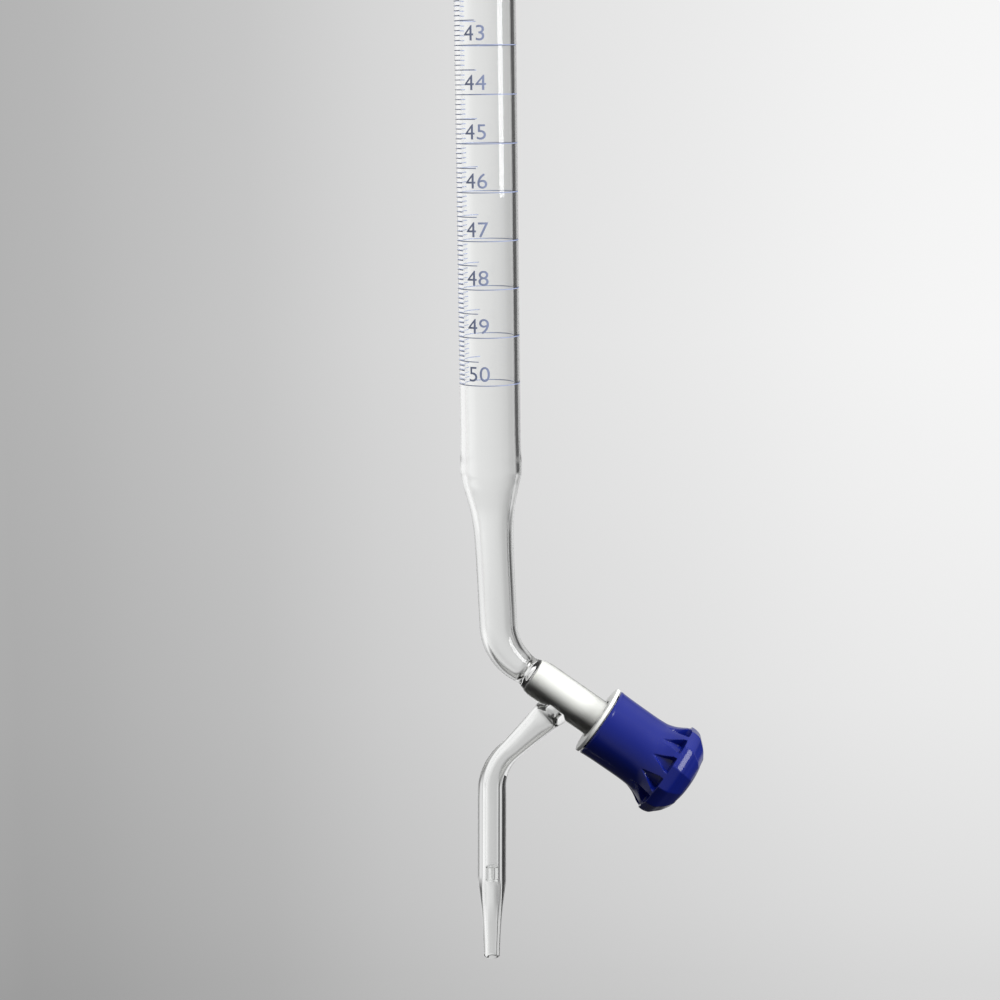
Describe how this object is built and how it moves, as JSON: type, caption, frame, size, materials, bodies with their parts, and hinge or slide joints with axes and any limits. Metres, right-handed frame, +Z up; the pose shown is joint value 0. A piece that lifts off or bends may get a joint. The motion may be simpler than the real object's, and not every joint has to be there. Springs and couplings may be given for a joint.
{
  "type": "burette",
  "caption": "Clear glass burette with a graduated tube, a lateral screw valve with a blue knob, and a bent side outlet with a tapered jet.",
  "frame": {"origin": "on the measuring tube's axis at the 25 mL mark, where a stand's clamp grips the tube", "axes": "+Z up along the measuring tube, towards its open rim; +X towards the valve's knob; the scale's centre faces -X"},
  "size_m": [0.0543, 0.0218, 0.7016],
  "materials": {
    "glass": "clear polished borosilicate glass",
    "enamel": "blue enamel lines and figures fired onto the glass",
    "white_plastic": "smooth moulded white",
    "ptfe": "turned white PTFE, waxy",
    "rubber": "moulded black elastomer",
    "steel": "spring steel",
    "blue_plastic": "glossy moulded deep blue"
  },
  "bodies": {
    "glass": {"measuring_tube": "glass", "lower_tube": "glass", "valve_barrel": "glass", "outlet_arm": "glass", "jet_tip": "glass", "flow_restrictor": "glass", "threaded_collar": "white_plastic"},
    "spindle": {"valve_spindle": "ptfe", "front_o_ring": "rubber", "rear_o_ring": "rubber", "thrust_washer": "ptfe", "spindle_clip": "steel"},
    "knob": {"control_knob": "blue_plastic", "knob_end_cap": "blue_plastic"}
  },
  "joints": [
    {"name": "spindle_travel", "type": "slide", "parent": "glass", "child": "spindle", "axis": [0.8181, 0, -0.575], "range_m": [0, 0.004]},
    {"name": "knob_turn", "type": "hinge", "parent": "spindle", "child": "knob", "pos_m": [0.00985, 0, -0.3263], "axis": [0.8181, 0, -0.575], "range_deg": [0, 720]}
  ],
  "couplings": [
    {"joint": "spindle_travel", "follows": "knob_turn", "m_per_rad": 0.00031831}
  ]
}
